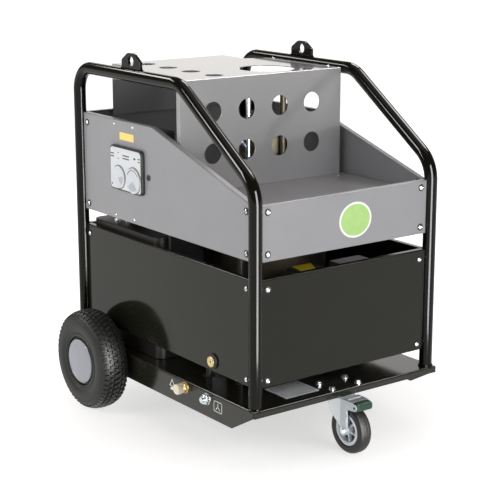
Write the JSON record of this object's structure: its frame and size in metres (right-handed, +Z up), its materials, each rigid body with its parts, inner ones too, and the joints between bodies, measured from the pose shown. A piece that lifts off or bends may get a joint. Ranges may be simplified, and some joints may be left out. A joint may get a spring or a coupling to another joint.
{
  "type": "pressure washer boiler trolley",
  "caption": "Wheeled hot-water boiler for a pressure washer: folded panels in a bent tube frame, open tray, vented top cover, large rear wheels, braked front caster.",
  "frame": {"origin": "on the floor, under the middle of the part's bounding box", "axes": "+Z up; the front, with the tray and the caster, faces -Y; the controls are on the -X side"},
  "size_m": [0.784, 0.9136, 0.977],
  "materials": {
    "grey_paint": "fine satin powder coat, light grey",
    "cover_paint": "smooth semi-gloss powder coat, light grey",
    "charcoal_paint": "fine satin powder coat, charcoal",
    "black_tube": "gloss black paint",
    "zinc": "bright zinc plate",
    "steel": "plain steel",
    "boiler_steel": "heat-tinted steel",
    "brass": "turned brass",
    "cast_aluminium": "rough casting",
    "tyre": "matt rubber",
    "rubber": "matt black rubber",
    "black_plastic": "fine-grained moulding",
    "white_plastic": "smooth white moulding",
    "grey_plastic": "light grey moulding",
    "cream_plastic": "cream dust cap",
    "green_plastic": "dark green moulding",
    "tank_plastic": "black polyethylene"
  },
  "bodies": {
    "chassis": {"base_tray": "charcoal_paint", "data_plate": "steel", "left_frame_hoop": "black_tube", "right_frame_hoop": "black_tube", "left_lifting_eye": "black_tube", "right_lifting_eye": "black_tube", "left_upper_panel": "grey_paint", "right_upper_panel": "grey_paint", "front_upper_panel": "grey_paint", "rear_upper_panel": "grey_paint", "left_lower_panel": "charcoal_paint", "right_lower_panel": "charcoal_paint", "front_lower_panel": "charcoal_paint", "rear_lower_panel": "charcoal_paint", "storage_tray": "grey_paint", "upper_cover": "cover_paint", "electrical_box": "black_plastic", "control_bezel": "black_plastic", "control_plate": "white_plastic", "panel_plug": "black_plastic", "drain_grommet": "rubber", "drain_plug": "brass", "inlet_fitting": "brass", "outlet_fitting": "zinc", "inlet_hose": "rubber", "outlet_hose": "rubber", "boiler_casing": "boiler_steel", "flue_pipe": "boiler_steel", "heating_coil": "steel", "burner_housing": "cast_aluminium", "blast_tube": "steel", "burner_motor": "cast_aluminium", "fuel_pump": "cast_aluminium", "ignition_transformer": "black_plastic", "burner_control": "grey_plastic", "fuel_tank": "tank_plastic", "fuel_filter": "white_plastic", "rear_axle": "steel", "caster_plate": "zinc", "caster_bolt_1": "zinc", "caster_bolt_2": "zinc", "caster_bolt_3": "zinc", "caster_bolt_4": "zinc"},
    "left_wheel": {"left_tyre": "tyre", "left_rim": "black_plastic", "left_wheel_cap": "grey_plastic"},
    "right_wheel": {"right_tyre": "tyre", "right_rim": "black_plastic", "right_wheel_cap": "grey_plastic"},
    "caster": {"caster_fork": "zinc", "brake_bracket": "zinc", "caster_axle": "zinc"},
    "caster_wheel": {"caster_tyre": "tyre", "caster_rim": "grey_plastic"},
    "brake": {"brake_pedal": "green_plastic"},
    "power_switch": {"power_knob": "grey_plastic"},
    "thermostat": {"thermostat_knob": "grey_plastic"},
    "fan": {"blower_fan": "steel"},
    "tank_cap": {"fuel_cap": "black_plastic"},
    "dust_cap": {"inlet_cap": "cream_plastic"}
  },
  "joints": [
    {"name": "left_wheel_roll", "type": "hinge", "parent": "chassis", "child": "left_wheel", "pos_m": [-0.349, 0.28875, 0.137], "axis": [1, 0, 0], "continuous": true},
    {"name": "right_wheel_roll", "type": "hinge", "parent": "chassis", "child": "right_wheel", "pos_m": [0.349, 0.28875, 0.137], "axis": [1, 0, 0], "continuous": true},
    {"name": "caster_swivel", "type": "hinge", "parent": "chassis", "child": "caster", "pos_m": [0, -0.34225, 0.145], "axis": [0, 0, 1], "continuous": true},
    {"name": "caster_roll", "type": "hinge", "parent": "caster", "child": "caster_wheel", "pos_m": [0, -0.39425, 0.0625], "axis": [1, 0, 0], "continuous": true},
    {"name": "brake_press", "type": "hinge", "parent": "caster", "child": "brake", "pos_m": [0, -0.43525, 0.134], "axis": [1, 0, 0], "range_deg": [0, 15]},
    {"name": "power_switch_turn", "type": "hinge", "parent": "chassis", "child": "power_switch", "pos_m": [-0.293, 0.22175, 0.647], "axis": [-1, 0, 0], "range_deg": [0, 90]},
    {"name": "thermostat_turn", "type": "hinge", "parent": "chassis", "child": "thermostat", "pos_m": [-0.293, 0.15025, 0.647], "axis": [-1, 0, 0], "range_deg": [0, 270]},
    {"name": "fan_spin", "type": "hinge", "parent": "chassis", "child": "fan", "pos_m": [0.083, -0.22925, 0.3], "axis": [1, 0, 0], "continuous": true},
    {"name": "tank_cap_turn", "type": "hinge", "parent": "chassis", "child": "tank_cap", "pos_m": [-0.15, 0.36575, 0.53], "axis": [0, 0, 1], "range_deg": [0, 90]},
    {"name": "dust_cap_pull", "type": "slide", "parent": "chassis", "child": "dust_cap", "axis": [-1, 0, 0], "range_m": [0, 0.022]}
  ]
}
